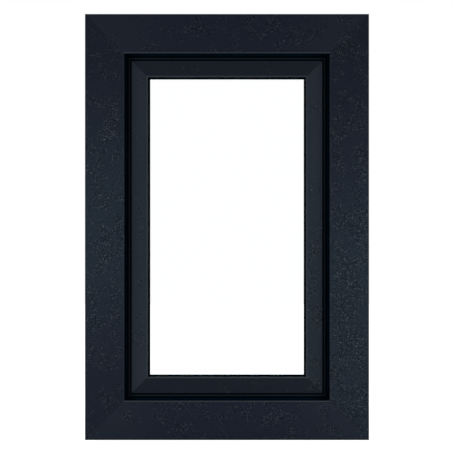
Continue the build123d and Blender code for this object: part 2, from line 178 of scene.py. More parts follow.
# The lever's outline: shares of half its width, over shares of its length
WIDTH_AT_ROSE = 0.88
WIDTH_CHANGES = ((-0.10, 0.02, 0.16), (0.21, 0.16, 0.55), (-0.16, 0.60, 1.0))
FLATTENING = (0.06, 0.30)
GRIP_THICKNESS = 0.50
GRIP_SQUARENESS = 0.28
TIP_LENGTH = 9 * MM
TIP_ROUNDNESS = 2.4
TIP_POINT = 0.05  # a ring narrower than this share is drawn as a point
LEVER_SEGMENTS = 48

# Studio
SENSOR_WIDTH = 36.0
FLOOR_REACH = 14.0
FLOOR_LEVEL = -0.3 * MM
FLOOR_TONE = (0.75, 0.75, 0.75, 1)
WHITE = (1, 1, 1, 1)
SIDE_LAMP_OUT = 0.60  # from the window's middle
SIDE_LAMP_FRONT = 0.40  # before the outside face
SIDE_LAMP_AIM = 0.21
SIDE_LAMP_SIZE = (0.25, 0.30)
RIGHT_LAMP_DROP = 0.05
ROOM_LAMP_PLACE = (-0.8, 1.6, 1.7)
ROOM_LAMP_SIZE = (1.2, 1.2)


# Property groups


def length(name, description, default):
    """A length that a user may change, in metres."""
    return bpy.props.FloatProperty(
        name=name, description=description, default=default, min=0.0, precision=5, unit="LENGTH"
    )


def colour(name, description, default):
    """A linear colour that a user may change."""
    return bpy.props.FloatVectorProperty(
        name=name, description=description, default=default, size=3, min=0.0, max=1.0, subtype="COLOR"
    )


def amount(name, description, default, top=1.0):
    """A plain number that a user may change."""
    return bpy.props.FloatProperty(name=name, description=description, default=default, min=0.0, max=top)


def power(name, description, default):
    """A lamp's power that a user may change, in watts."""
    return bpy.props.FloatProperty(
        name=name, description=description, default=default, min=0.0, unit="POWER"
    )


class FinishSettings(bpy.types.PropertyGroup):
    """Colours and grain of the window's finishes."""

    # Painted light: jamb and rail tones are lit and shaded copies of one foil, the uprights painted lighter
    # and the level sides darker
    jamb_lit_tone: colour("Jamb foil", "Foil on the frame's upright sides", (0.0136, 0.0208, 0.0308))
    # Painted shade: the frame's upright foil is painted darker towards its ends
    jamb_end_shaded_tone: colour("Jamb ends", "The frame's upright foil at its ends", (0.0105, 0.0137, 0.0236))
    rail_shaded_tone: colour("Rail foil", "Foil on the frame's level sides", (0.0120, 0.0156, 0.0278))
    # Painted light: the frame's level foil is painted lighter towards its ends
    rail_end_lit_tone: colour("Rail ends", "The frame's level foil at its ends", (0.0140, 0.0194, 0.0300))
    # Painted light: the sash's upright foil is painted lighter and its level foil darker, as lit and shaded
    # copies of one foil
    sash_jamb_lit_tone: colour("Sash jamb foil", "Foil on the sash's upright sides", (0.0176, 0.0248, 0.0345))
    # Painted light: the sash's upright foil is painted lighter towards its ends
    sash_end_lit_tone: colour("Sash jamb ends", "The sash's upright foil at its ends", (0.0222, 0.0290, 0.0412))
    sash_rail_shaded_tone: colour("Sash rail foil", "Foil on the sash's level sides", (0.0098, 0.0140, 0.0214))
    # Pale specks: partly foil grain, partly painted glints of the side lamps
    speck_and_glint_tone: colour("Specks", "Pale specks of the foil", (0.0620, 0.0770, 0.0950))
    # Painted highlight: the pale line where the rounded sight edges catch the light
    edge_highlight_tone: colour("Rubbed foil", "Foil rubbed pale along a sight edge", (0.0380, 0.0460, 0.0580))
    # Painted shade: the ridge beside the gap is painted darker, as it lies in the gap's shade
    ridge_shade_tone: colour("Ridge", "Dull lip between the gap and the sash's groove", (0.0112, 0.0171, 0.0231))
    # Painted shade: the dark in the gap, in the sash's narrow groove, where the sight edges turn away, and
    # as a line along the outer edge
    groove_shade_tone: colour("Foil edge", "Dark line at the foil's end and in grooves", (0.0007, 0.0036, 0.0072))
    core_tone: colour("Profile core", "Bare plastic round the outer edge", (0.0085, 0.0105, 0.0135))
    rubber_tone: colour("Rubber", "Gaskets at the glass and under the lap", (0.0005, 0.0028, 0.0052))
    # Painted light: the same rubber as the other gaskets, painted lighter for the gasket deep in the gap
    seal_lit_tone: colour("Seal", "Gasket between frame and sash", (0.0008, 0.0052, 0.0105))
    glass_tone: colour("Glass", "Clear float glass", (0.996, 1.0, 0.998))
    spacer_tone: colour("Spacer", "Spacer bar between the panes", (0.62, 0.63, 0.64))
    zinc_tone: colour("Zinc", "Galvanised steel and plated gear", (0.52, 0.53, 0.54))
    block_tone: colour("Setting block", "Moulded blocks under the glass", (0.06, 0.22, 0.42))
    handle_tone: colour("Handle", "Satin anodised aluminium", (0.66, 0.67, 0.68))
    hinge_tone: colour("Hinge", "Silver grey powder coat", (0.60, 0.61, 0.62))
    grain_size: length("Grain", "Size of the foil's soft grain", 2.6 * MM)
    speck_size: length("Speck size", "Size of the foil's scattered specks", 1.2 * MM)
    cluster_size: length("Clusters", "Size of the clusters that the specks stand in", 32 * MM)
    emboss_size: length("Emboss", "Size of the foil's fine emboss", 0.7 * MM)
    # Painted shade line along the window's outer edge
    border_shade_width: length("Edge border", "Dark line shown at the window's outer edge", 1.7 * MM)
    groove_depth: length("Groove depth", "How far the bare core goes into the outer grooves", 3.3 * MM)
    weld_width: length("Weld line", "Width of the cleaned weld at each mitre", 0.35 * MM)
    frame_edge: length("Frame sight edge", "From the window's edge to the frame's sight edge", 70 * MM)
    sash_edge: length("Sash sight edge", "From the window's edge to the sash's sight edge", 111 * MM)
    gap_end: length("Gap end", "From the window's edge to the ridge beside the gap", 76 * MM)
    quirk_start: length("Quirk start", "From the window's edge to the sash's narrow groove", 79.3 * MM)
    quirk_end: length("Quirk end", "From the window's edge to the groove's far side", 81.4 * MM)
    # Painted shade: dark strips where the sight edges turn away from the light
    frame_turn: length("Frame turn", "Dark strip where the frame's sight edge turns away", 0.8 * MM)
    sash_turn: length("Sash turn", "Dark strip where the sash's sight edge turns away", 0.8 * MM)
    # Painted highlight: width of the pale line beside the dark strip
    edge_highlight_width: length("Rubbed width", "Width of the rubbed foil beside that strip", 2.0 * MM)


class DetailSettings(bpy.types.PropertyGroup):
    """Sizes of the small parts that the CAD frame leaves out."""

    slit_pitch: length("Slit pitch", "From one spacer slit to the next", 6.0 * MM)
    slit_length: length("Slit length", "Length of a spacer slit", 2.6 * MM)
    slit_width: length("Slit width", "Width of a spacer slit", 0.5 * MM)
    screw_diameter: length("Screw head", "Diameter of a hinge screw's head", 7.0 * MM)
    screw_height: length("Screw height", "How far a head stands proud", 1.3 * MM)
    recess_width: length("Recess", "Width of the cross recess's arms", 1.1 * MM)
    screw_inset: length("Screw inset", "From a sash leaf's free edge to its screws", 10.0 * MM)
    plate_thickness: length("Hinge plate", "Thickness of a hinge leaf's plate", 3.5 * MM)
    barrel_diameter: length("Hinge barrel", "Diameter of a hinge's barrel", 17.0 * MM)
    pin_diameter: length("Pin head", "Diameter of a hinge pin's head", 10.0 * MM)
    pin_height: length("Pin height", "How far a pin's head stands proud", 1.4 * MM)


class StudioSettings(bpy.types.PropertyGroup):
    """Camera and light."""

    camera_distance: length("Camera distance", "From the lens to the window's outside face", 8.0)
    view_width: length("View width", "What the picture spans at the outside face", 0.7993)
    sky_strength: amount("Sky", "Soft light from all round", 0.30, 5.0)
    side_lamp_power: power("Side lamps", "Power of each lamp beside the window", 2.4)
    room_lamp_power: power("Room lamp", "Power of the lamp on the room side", 16.0)
    floor_glow: amount("Floor glow", "How much of the floor's white isn't lit by the lamps", 0.7)
    shadow_reach: length("Shadow reach", "How far from the window the floor shows shadows", 0.8)


# Node helpers


class Nodes:
    """A node tree under construction."""

    def __init__(self, tree):
        self.tree = tree

    def node(self, kind, links=None, **settings):
        """A node, with its input sockets linked to sockets or set to values."""
        made = self.tree.nodes.new(kind)
        for key, value in settings.items():
            setattr(made, key, value)
        for socket, value in (links or {}).items():
            if hasattr(value, "is_linked"):
                self.tree.links.new(value, made.inputs[socket])
            else:
                made.inputs[socket].default_value = value
        return made

    def seen_rays(self):
        """A factor of 1 for rays that show the background, also in gloss and through glass."""
        paths = self.node("ShaderNodeLightPath").outputs
        factor = paths["Is Camera Ray"]
        for name in ("Is Glossy Ray", "Is Transmission Ray"):
            both = {0: factor, 1: paths[name]}
            factor = self.node("ShaderNodeMath", both, operation="MAXIMUM").outputs[0]
        return factor

    def mix_shaders(self, factor, first, second, surface):
        """Shows the second shader where the factor is 1, and the first one elsewhere."""
        choice = self.node("ShaderNodeMixShader", {"Fac": factor, 1: first, 2: second})
        self.tree.links.new(choice.outputs[0], surface)


class Finish(Nodes):
    """A node material under construction, with the object's own coordinates at hand."""

    def __init__(self, name):
        self.material = bpy.data.materials.new(name)
        self.material.use_nodes = True
        super().__init__(self.material.node_tree)
        self.shader = self.tree.nodes["Principled BSDF"]
        self.surface = self.tree.nodes["Material Output"].inputs["Surface"]
        self.place = self.node("ShaderNodeTexCoord").outputs["Object"]

    def split_place(self):
        """The object's coordinates as three sockets."""
        parts = self.node("ShaderNodeSeparateXYZ", {0: self.place}).outputs
        return parts["X"], parts["Y"], parts["Z"]

    def stretched(self, scale):
        """The object's coordinates, scaled along each axis."""
        return self.node("ShaderNodeMapping", {"Vector": self.place, "Scale": scale}).outputs[0]

    def noise(self, size, scale=(1, 1, 1), detail=3.0, rough=0.55):
        """Noise whose features are about this size, in metres."""
        links = {"Vector": self.stretched(scale), "Scale": 1 / size, "Detail": detail, "Roughness": rough}
        return self.node("ShaderNodeTexNoise", links).outputs["Fac"]

    def cells(self, size, scale=(1, 1, 1), feature="F1"):
        """Voronoi cells of about this size, in metres."""
        links = {"Vector": self.stretched(scale), "Scale": 1 / size}
        return self.node("ShaderNodeTexVoronoi", links, feature=feature).outputs["Distance"]

    def cell_value(self, size):
        """A random value from 0 to 1 for each cell of about this size, in metres."""
        cells = self.node("ShaderNodeTexVoronoi", {"Vector": self.place, "Scale": 1 / size})
        return self.node("ShaderNodeSeparateColor", {0: cells.outputs["Color"]}).outputs[0]

    def scale_colour(self, colour, factor):
        """A colour made lighter or darker by a socket's value."""
        return self.node("ShaderNodeVectorMath", {0: colour, "Scale": factor}, operation="SCALE").outputs[0]

    def between(self, source, low, high, to_low=0.0, to_high=1.0):
        """A value moved from one range to another, and held inside it."""
        links = {"Value": source, "From Min": low, "From Max": high, "To Min": to_low, "To Max": to_high}
        return self.node("ShaderNodeMapRange", links).outputs["Result"]

    def maths(self, operation, first, second=None):
        """A Math node on sockets or numbers."""
        links = {0: first} if second is None else {0: first, 1: second}
        return self.node("ShaderNodeMath", links, operation=operation).outputs[0]

    def blend(self, factor, first, second):
        """Two colours mixed by a factor; each is a socket or a linear colour."""
        links = {"Factor": factor}
        for socket, value in ((6, first), (7, second)):
            links[socket] = value if hasattr(value, "is_linked") else (*value, 1)
        return self.node("ShaderNodeMix", links, data_type="RGBA").outputs[2]

    def bump(self, height, distance, strength, under=None):
        """A bump of this depth in metres, on top of another one."""
        links = {"Height": height, "Distance": distance, "Strength": strength}
        if under:
            links["Normal"] = under
        return self.node("ShaderNodeBump", links).outputs["Normal"]

    def wear(self, colour, roughness, normal=None, **constants):
        """Connects the shader's inputs and sets its constant sockets."""
        for socket, source in (("Base Color", colour), ("Roughness", roughness), ("Normal", normal)):
            if source is not None:
                self.tree.links.new(source, self.shader.inputs[socket])
        for socket, value in constants.items():
            self.shader.inputs[socket.replace("_", " ")].default_value = value
        return self.material

    def cover(self, tone, shades, tinting, gloss, relief, **constants):
        """Two shades of a tone by one pattern, roughness by another, and a bump by a third."""
        first, second = (shade(tone, factor) for factor in shades)
        tint = self.blend(self.between(*tinting), first, second)
        return self.wear(tint, self.between(*gloss), self.bump(*relief), **constants)


def add_object(name, data):
    """A new object in the scene, at the origin."""
    made = bpy.data.objects.new(name, data)
    bpy.context.collection.objects.link(made)
    return made


def shade(tone, factor):
    """A linear colour made lighter or darker."""
    return tuple(min(1.0, channel * factor) for channel in tone)


def coat(nodes, material):
    """Gives CAD nodes a material."""
    for name in nodes:
        mesh = frame["nodes"][name].data
        mesh.materials.clear()
        mesh.materials.append(material)


def each_side(*pieces, sides=SIDES):
    """Node names of mitred pieces on some of the sides."""
    return [f"{piece}_{side}" for piece in pieces for side in sides]


# Foil


class Foil(Finish):
    """Foil on mitred profiles, which knows where on them a point lies."""

    def __init__(self, name, settings):
        super().__init__(name)
        self.settings = settings
        self.x, self.depth, z = self.split_place()
        self.height = self.maths("SUBTRACT", z, window_centre_z)
        from_side = self.maths("SUBTRACT", half_width, self.maths("ABSOLUTE", self.x))
        from_end = self.maths("SUBTRACT", half_height, self.maths("ABSOLUTE", self.height))
        self.across = self.maths("MINIMUM", from_side, from_end)
        self.off_mitre = self.maths("ABSOLUTE", self.maths("SUBTRACT", from_side, from_end))
        self.outdoors = self.between(self.depth, *OUTDOOR_LIMIT, 1.0, 0.0)

    def outdoor_bands(self, *spans):
        """A soft-edged mask for stretches across the profile that show only from outside."""
        total = None
        for start, end in spans:
            rise = self.between(self.across, start - BAND_SOFTNESS, start + BAND_SOFTNESS)
            fall = self.between(self.across, end - BAND_SOFTNESS, end + BAND_SOFTNESS, 1.0, 0.0)
            band = self.maths("MULTIPLY", rise, fall)
            total = self.maths("ADD", total, band) if total else band
        return self.maths("MULTIPLY", total, self.outdoors)

    def core_mask(self):
        """The sides of the window's outer edge with their grooves, which carry no foil."""
        bottom = self.settings.groove_depth
        groove = self.between(self.across, bottom, bottom + BAND_SOFTNESS, 1.0, 0.0)
        start, end = (half_depth - wrap for wrap in FOIL_WRAP)
        inner = self.between(self.maths("ABSOLUTE", self.depth), start, end, 1.0, 0.0)
        return self.maths("MULTIPLY", groove, inner)

    def weld_mask(self):
        """The cleaned weld line along each mitre."""
        start, end = (self.settings.weld_width * share for share in WELD_FADE)
        return self.between(self.off_mitre, start, end, 1.0, 0.0)

    def painted_light_falloff(self, upright):
        """A painted light mask: rises from 0 at a side's middle to 1 at its ends; the right jamb's middle
        lies lower.
        """
        if not upright:
            return self.between(self.maths("ABSOLUTE", self.x), *RAIL_FADE)
        strip = (self.x, -MIDDLE_STRIP, MIDDLE_STRIP)
        drop = self.maths("MULTIPLY", self.between(*strip), RIGHT_JAMB_DROP)
        from_light_pool = self.maths("ABSOLUTE", self.maths("ADD", self.height, drop))
        stretch = self.between(*strip, 1.0, RIGHT_JAMB_STRETCH)
        return self.between(self.maths("MULTIPLY", from_light_pool, stretch), *JAMB_FADE)

    def speckle(self, tint, tone, from_light_pool, specks):
        """Pale and dark specks in clusters, more on the right and fewer at a side's ends; the pale ones are
        partly grain and partly painted glints.
        """
        cloud = self.noise(self.settings.cluster_size, detail=4.0, rough=0.7)
        cell = self.cell_value(self.settings.speck_size)
        share = self.between(self.x, -MIDDLE_STRIP, MIDDLE_STRIP, specks, specks + MORE_AT_RIGHT)
        share = self.maths("SUBTRACT", share, self.maths("MULTIPLY", from_light_pool, FEWER_AT_ENDS))
        lead = self.maths("SUBTRACT", share, cloud)
        cluster = self.between(lead, -CLUSTER_SOFTNESS, CLUSTER_SOFTNESS)
        for cells, layer in ((PALE_CELLS, self.settings.speck_and_glint_tone), (DARK_CELLS, shade(tone, DARK_SHADE))):
            mask = self.maths("MULTIPLY", cluster, self.between(cell, *cells))
            tint = self.blend(mask, tint, tuple(layer))
        return tint

    def mark_edges(self, tint, tone, frame_highlight_share):
        """Painted highlights on the sight edges, painted shade on the ridge and in the grooves, dark welds
        and the bare core.
        """
        sizes = self.settings
        frame_end = sizes.frame_edge - sizes.frame_turn
        sash_end = sizes.sash_edge - sizes.sash_turn
        shaded_bands = (
            (-EDGE_OVERLAP, sizes.border_shade_width),
            (frame_end, sizes.gap_end),
            (sizes.quirk_start, sizes.quirk_end),
            (sash_end, sizes.sash_edge + EDGE_OVERLAP),
        )
        # Painted highlight along the frame's sight edge, weaker on the jambs
        frame_edge_highlight = self.outdoor_bands((frame_end - sizes.edge_highlight_width, frame_end))
        for mask, layer in (
            # painted highlights along the frame's and the sash's sight edges
            (self.maths("MULTIPLY", frame_edge_highlight, frame_highlight_share), sizes.edge_highlight_tone),
            (self.outdoor_bands((sash_end - sizes.edge_highlight_width, sash_end)), sizes.edge_highlight_tone),
            # painted shade on the ridge beside the gap
            (self.outdoor_bands((sizes.gap_end - RIDGE_OVERLAP, sizes.quirk_start)), sizes.ridge_shade_tone),
            (self.weld_mask(), shade(tone, DARK_SHADE)),
            # painted shade in the gap, the groove, the turning sight edges and along the outer edge
            (self.outdoor_bands(*shaded_bands), sizes.groove_shade_tone),
            (self.core_mask(), sizes.core_tone),
        ):
            tint = self.blend(mask, tint, tuple(layer))
        return tint


def foil(name, tone, end_tone, upright, specks, frame_highlight_share, settings):
    """Embossed foil with a soft grain, specks, painted light along its sides and painted highlights and
    shade at its edges, and no gloss in the dark gap.
    """
    finish = Foil(name, settings)
    grain = UPRIGHT_GRAIN if upright else LEVEL_GRAIN
    from_light_pool = finish.painted_light_falloff(upright)
    soft_grain = finish.noise(settings.grain_size, grain, detail=3.0, rough=0.6)
    # Painted light: the tone turns into its end tone along a side, as the side lamps' light changes
    tint = finish.blend(from_light_pool, tone, end_tone)
    tint = finish.scale_colour(tint, finish.between(soft_grain, *GRAIN_SHADES))
    tint = finish.speckle(tint, tone, from_light_pool, specks)
    tint = finish.mark_edges(tint, tone, frame_highlight_share)
    roughness = finish.between(soft_grain, *NOISE_SPAN, *FOIL_ROUGHNESS)
    relief = finish.bump(finish.cells(settings.emboss_size, grain), 0.05 * MM, 0.5)
    relief = finish.bump(soft_grain, 0.2 * MM, 0.6, relief)
    dull = finish.outdoor_bands((settings.frame_edge - settings.frame_turn, settings.quirk_end))
    specular = finish.between(dull, 0.0, 1.0, FOIL_SPECULAR, 0.0)
    finish.tree.links.new(specular, finish.shader.inputs["Specular IOR Level"])
    return finish.wear(tint, roughness, relief)


# Other finishes


def rubber(name, tone):
    """Matt black gasket rubber with a faint bloom."""
    finish = Finish(name)
    bloom = finish.noise(9 * MM, detail=4.0)
    pores = finish.noise(0.5 * MM, detail=2.0)
    gloss = (bloom, *NOISE_SPAN, 0.62, 0.78)
    relief = (pores, 0.04 * MM, 0.4)
    return finish.cover(tone, (0.7, 1.5), (bloom, 0.35, 0.75), gloss, relief, Specular_IOR_Level=0.0)


def glass(settings):
    """Clear float glass whose seamed edges are ground, and which lets the lamps' light through."""
    finish = Finish("float_glass")
    x, _, z = finish.split_place()
    pane_low, pane_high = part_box("outer_pane")
    beside = finish.maths("SUBTRACT", pane_high.x, finish.maths("ABSOLUTE", x))
    height = finish.maths("SUBTRACT", z, window_centre_z)
    half_pane = (pane_high.z - pane_low.z) / 2
    above = finish.maths("SUBTRACT", half_pane, finish.maths("ABSOLUTE", height))
    to_edge = finish.maths("MINIMUM", beside, above)
    ground = finish.between(to_edge, 0.0, SEAM_WIDTH, SEAM_ROUGHNESS, 0.0)
    tint = finish.blend(ground, tuple(settings.glass_tone), SEAM_TONE)
    finish.wear(tint, ground, Transmission_Weight=1.0, IOR=1.5)
    clear = finish.node("ShaderNodeBsdfTransparent").outputs[0]
    shadow_ray = finish.node("ShaderNodeLightPath").outputs["Is Shadow Ray"]
    finish.mix_shaders(shadow_ray, finish.shader.outputs[0], clear, finish.surface)
    return finish.material


def metal(name, tone, grain, size, polish, relief_depth):
    """Metal with brushing or rolling lines stretched along one axis."""
    finish = Finish(name)
    lines = finish.noise(size, grain, detail=4.0, rough=0.6)
    cloud = finish.noise(25 * MM, detail=2.0)
    gloss = (cloud, *NOISE_SPAN, polish, polish + 0.12)
    relief = (lines, relief_depth, 0.5)
    return finish.cover(tone, (0.86, 1.08), (lines, *NOISE_SPAN), gloss, relief, Metallic=1.0)


def galvanised(tone):
    """Zinc with its flat crystals."""
    finish = Finish("galvanised_steel")
    crystal = finish.cells(7 * MM, feature="SMOOTH_F1")
    gloss = (crystal, 0.0, 1.0, 0.32, 0.5)
    relief = (crystal, 0.02 * MM, 0.4)
    return finish.cover(tone, (1.12, 0.80), (crystal, 0.1, 0.8), gloss, relief, Metallic=1.0)


def moulded(name, tone, roughness_low):
    """Moulded plastic with a fine spark texture."""
    finish = Finish(name)
    spark = finish.noise(0.4 * MM, detail=2.0)
    cloud = finish.noise(12 * MM, detail=2.0)
    gloss = (spark, *NOISE_SPAN, roughness_low, roughness_low + 0.15)
    return finish.cover(tone, (0.88, 1.08), (cloud, *NOISE_SPAN), gloss, (spark, 0.03 * MM, 0.5))


def powder_coat(tone):
    """Powder coat with its faint orange peel."""
    finish = Finish("hinge_powder_coat")
    peel = finish.noise(1.1 * MM, detail=1.0)
    fleck = finish.noise(0.25 * MM, detail=2.0)
    gloss = (peel, *NOISE_SPAN, 0.36, 0.46)
    relief = (peel, 0.05 * MM, 0.5)
    return finish.cover(tone, (0.90, 1.06), (fleck, *NOISE_SPAN), gloss, relief, Metallic=0.55)


# Geometry nodes helpers


class Growth(Nodes):
    """A geometry node tree with named inputs, which ends in Realize Instances and Set Material."""

    def __init__(self, name, inputs):
        super().__init__(bpy.data.node_groups.new(name, "GeometryNodeTree"))
        self.ids = {}
        face = self.tree.interface
        face.new_socket("Geometry", in_out="INPUT", socket_type="NodeSocketGeometry")
        for label, kind in (*inputs.items(), ("Material", "Material")):
            made = face.new_socket(label, in_out="INPUT", socket_type="NodeSocket" + kind)
            self.ids[label] = made.identifier
        face.new_socket("Geometry", in_out="OUTPUT", socket_type="NodeSocketGeometry")
        self.inlet = self.tree.nodes.new("NodeGroupInput").outputs
        self.outlet = self.tree.nodes.new("NodeGroupOutput").inputs

    def head(self):
        """The mesh of the object that the input Head names."""
        head = {"Object": self.inlet["Head"]}
        return self.node("GeometryNodeObjectInfo", head, transform_space="ORIGINAL").outputs["Geometry"]

    def finish(self, points, instance, rotation):
        """Sets an instance on each point, realizes them, sets their material and connects the output."""
        links = {"Points": points, "Instance": instance, "Rotation": rotation}
        placed = self.node("GeometryNodeInstanceOnPoints", links).outputs[0]
        real = self.node("GeometryNodeRealizeInstances", {"Geometry": placed}).outputs[0]
        coated = self.node("GeometryNodeSetMaterial", {0: real, "Material": self.inlet["Material"]})
        self.tree.links.new(coated.outputs[0], self.outlet[0])


def grow(name, base, growth, values):
    """Runs a tree on a base mesh and returns the result as a plain mesh object at the origin."""
    seed = add_object(name + "_seed", base)
    modifier = seed.modifiers.new("growth", "NODES")
    modifier.node_group = growth.tree
    for label, value in values.items():
        modifier[growth.ids[label]] = value
    bpy.context.view_layer.update()
    depsgraph = bpy.context.evaluated_depsgraph_get()
    mesh = bpy.data.meshes.new_from_object(seed.evaluated_get(depsgraph))
    if not mesh.polygons:
        raise RuntimeError(f"{name} grew no faces")
    mesh.name = name
    seed.modifiers.clear()
    bpy.data.objects.remove(seed)
    return add_object(name, mesh)


def dots(name, points):
    """A mesh of loose points, for a tree to set instances on."""
    mesh = bpy.data.meshes.new(name)
    mesh.from_pydata([tuple(point) for point in points], [], [])
    return mesh


def settle(piece):
    """Hands a finished piece over: it rides on the window."""
    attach(piece, "root")


# Spacer slits


def slit_growth():
    """Slits set along straight paths, each in line with its path."""
    growth = Growth("spacer_slit_rows", {"Pitch": "Float", "Slit Size": "Vector"})
    path = growth.node("GeometryNodeMeshToCurve", {"Mesh": growth.inlet["Geometry"]}).outputs[0]
    spacing = {"Curve": path, "Length": growth.inlet["Pitch"]}
    steps = growth.node("GeometryNodeCurveToPoints", spacing, mode="LENGTH").outputs
    slit = growth.node("GeometryNodeMeshCube", {"Size": growth.inlet["Slit Size"]}).outputs["Mesh"]
    along = {"Vector": steps["Tangent"]}
    turned = growth.node("FunctionNodeAlignRotationToVector", along, axis="X", pivot_axis="Y")
    growth.finish(steps["Points"], slit, turned.outputs[0])
    return growth


def spacer_slits(settings, material):
    """Two rows of slits on the face that the spacer shows between the panes."""
    face = min(abs(corner.x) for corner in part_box("spacer_left"))
    low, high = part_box("spacer_bottom")
    middle = (low.y + high.y) / 2
    depth = high.y - low.y
    bottom = high.z
    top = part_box("spacer_top")[0].z
    side_end = face - SLIT_MARGIN
    points, edges = [], []
    for row in SLIT_ROWS:
        y = middle + row * depth
        for start, end in (
            ((-side_end, y, bottom), (side_end, y, bottom)),
            ((-side_end, y, top), (side_end, y, top)),
            ((-face, y, bottom + SLIT_MARGIN), (-face, y, top - SLIT_MARGIN)),
            ((face, y, bottom + SLIT_MARGIN), (face, y, top - SLIT_MARGIN)),
        ):
            points += [start, end]
            edges.append((len(points) - 2, len(points) - 1))
    base = bpy.data.meshes.new("spacer_slit_paths")
    base.from_pydata(points, edges, [])
    values = {
        "Pitch": settings.slit_pitch,
        "Slit Size": (settings.slit_length, settings.slit_width, SLIT_THICKNESS),
        "Material": material,
    }
    settle(grow("spacer_slits", base, slit_growth(), values))


# Screws and pins


def turned_shape(name, profile, segments):
    """A solid of revolution about Z, from (radius, height) pairs that start and end on the axis."""
    mesh = bpy.data.meshes.new(name)
    shape = bmesh.new()
    rings = []
    for radius, height in profile:
        ring = []
        for step in range(segments if radius else 1):
            angle = 2 * math.pi * step / segments
            ring.append(shape.verts.new((radius * math.cos(angle), radius * math.sin(angle), height)))
        rings.append(ring)
    for lower, upper in zip(rings, rings[1:]):
        for step in range(segments):
            after = (step + 1) % segments
            corners = [lower[step % len(lower)], lower[after % len(lower)]]
            corners += [upper[after % len(upper)], upper[step % len(upper)]]
            shape.faces.new(list(dict.fromkeys(corners)))
    bmesh.ops.recalc_face_normals(shape, faces=shape.faces)
    shape.to_mesh(mesh)
    shape.free()
    return mesh


def head_growth():
    """Screw heads with a cross recess, set on points and turned at random by a fixed seed."""
    inputs = {"Head": "Object", "Recess Width": "Float", "Recess Length": "Float", "Recess Depth": "Float"}
    growth = Growth("screw_heads", inputs)
    inlet = growth.inlet
    cut = growth.node("GeometryNodeMeshBoolean", {"Mesh 1": growth.head()}, operation="DIFFERENCE")
    for x, y in (("Recess Length", "Recess Width"), ("Recess Width", "Recess Length")):
        sides = {"X": inlet[x], "Y": inlet[y], "Z": inlet["Recess Depth"]}
        size = growth.node("ShaderNodeCombineXYZ", sides).outputs[0]
        arm = growth.node("GeometryNodeMeshCube", {"Size": size}).outputs["Mesh"]
        growth.tree.links.new(arm, cut.inputs["Mesh 2"])
    turn = growth.node("FunctionNodeRandomValue", {3: math.pi / 2, "Seed": TURN_SEED}, data_type="FLOAT")
    spin = growth.node("ShaderNodeCombineXYZ", {"Z": turn.outputs[1]}).outputs[0]
    facing = growth.node("FunctionNodeEulerToRotation", {0: spin}).outputs[0]
    upright = {"Rotation": facing, "Rotate By": (-math.pi / 2, 0, 0)}
    tilt = growth.node("FunctionNodeRotateRotation", upright, rotation_space="GLOBAL")
    growth.finish(inlet["Geometry"], cut.outputs["Mesh"], tilt.outputs[0])
    return growth


def hinge_screws(settings, material):
    """Three screws in each hinge's sash leaf; the frame leaf's are behind its barrel."""
    radius, height = settings.screw_diameter / 2, settings.screw_height
    profile = [(0, -SCREW_ROOT), (radius, -SCREW_ROOT)]
    profile += [(radius * out, height * up) for out, up in SCREW_OUTLINE]
    profile.append((0, height))
    head = add_object("screw_head", turned_shape("screw_head", profile, SCREW_SEGMENTS))
    plate_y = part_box("sash_right")[1].y + settings.plate_thickness
    points = []
    for end in HINGE_ENDS:
        low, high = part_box(f"{end}_hinge_sash_leaf")
        for share in SCREW_SPOTS:
            points.append((low.x + settings.screw_inset, plate_y, low.z + share * (high.z - low.z)))
    values = {
        "Head": head,
        "Recess Width": settings.recess_width,
        "Recess Length": settings.screw_diameter * RECESS_LENGTH,
        "Recess Depth": settings.screw_height * RECESS_DEPTH,
        "Material": material,
    }
    piece = grow("hinge_screws", dots("hinge_screw_points", points), head_growth(), values)
    bpy.data.objects.remove(head)
    settle(piece)


def pin_growth():
    """Pin heads set on points, each facing the way that its point's attribute says."""
    growth = Growth("pin_heads", {"Head": "Object"})
    head = growth.head()
    facing = growth.node("GeometryNodeInputNamedAttribute", {"Name": "facing"}, data_type="FLOAT_VECTOR")
    along = {"Vector": facing.outputs["Attribute"]}
    turned = growth.node("FunctionNodeAlignRotationToVector", along, axis="Z")
    growth.finish(growth.inlet["Geometry"], head, turned.outputs[0])
    return growth


def hinge_pins(settings, material):
    """The domed heads of each hinge's pin, above and below its barrel."""
    radius, height = settings.pin_diameter / 2, settings.pin_height
    dome = [(0, -PIN_ROOT), (radius, -PIN_ROOT)]
    for step in range(DOME_STEPS):
        angle = math.pi / 2 * step / DOME_STEPS
        dome.append((radius * math.cos(angle), height * math.sin(angle)))
    dome.append((0, height))
    head = add_object("pin_head", turned_shape("pin_head", dome, PIN_SEGMENTS))
    barrel_radius = settings.barrel_diameter / 2
    points, facings = [], []
    for end in HINGE_ENDS:
        frame_low, frame_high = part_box(f"{end}_hinge_frame_leaf")
        sash_low, sash_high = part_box(f"{end}_hinge_sash_leaf")
        x = sash_high.x - barrel_radius
        y = max(frame_high.y, sash_high.y) - barrel_radius
        points.append((x, y, min(frame_low.z, sash_low.z)))
        points.append((x, y, max(frame_high.z, sash_high.z)))
        facings += [(0, 0, -1), (0, 0, 1)]
    base = dots("hinge_pin_points", points)
    attribute = base.attributes.new("facing", "FLOAT_VECTOR", "POINT")
    attribute.data.foreach_set("vector", [value for facing in facings for value in facing])
    piece = grow("hinge_pins", base, pin_growth(), {"Head": head, "Material": material})
    bpy.data.objects.remove(head)
    settle(piece)


# Lever


def smooth_step(value, start, end):
    """0 before start, 1 after end, and a soft rise between."""
    share = min(1.0, max(0.0, (value - start) / (end - start)))
    return share * share * (3 - 2 * share)


def signed_power(value, exponent):
    """A power that keeps the sign, for outlines between an ellipse and a rectangle."""
    return math.copysign(abs(value) ** exponent, value)


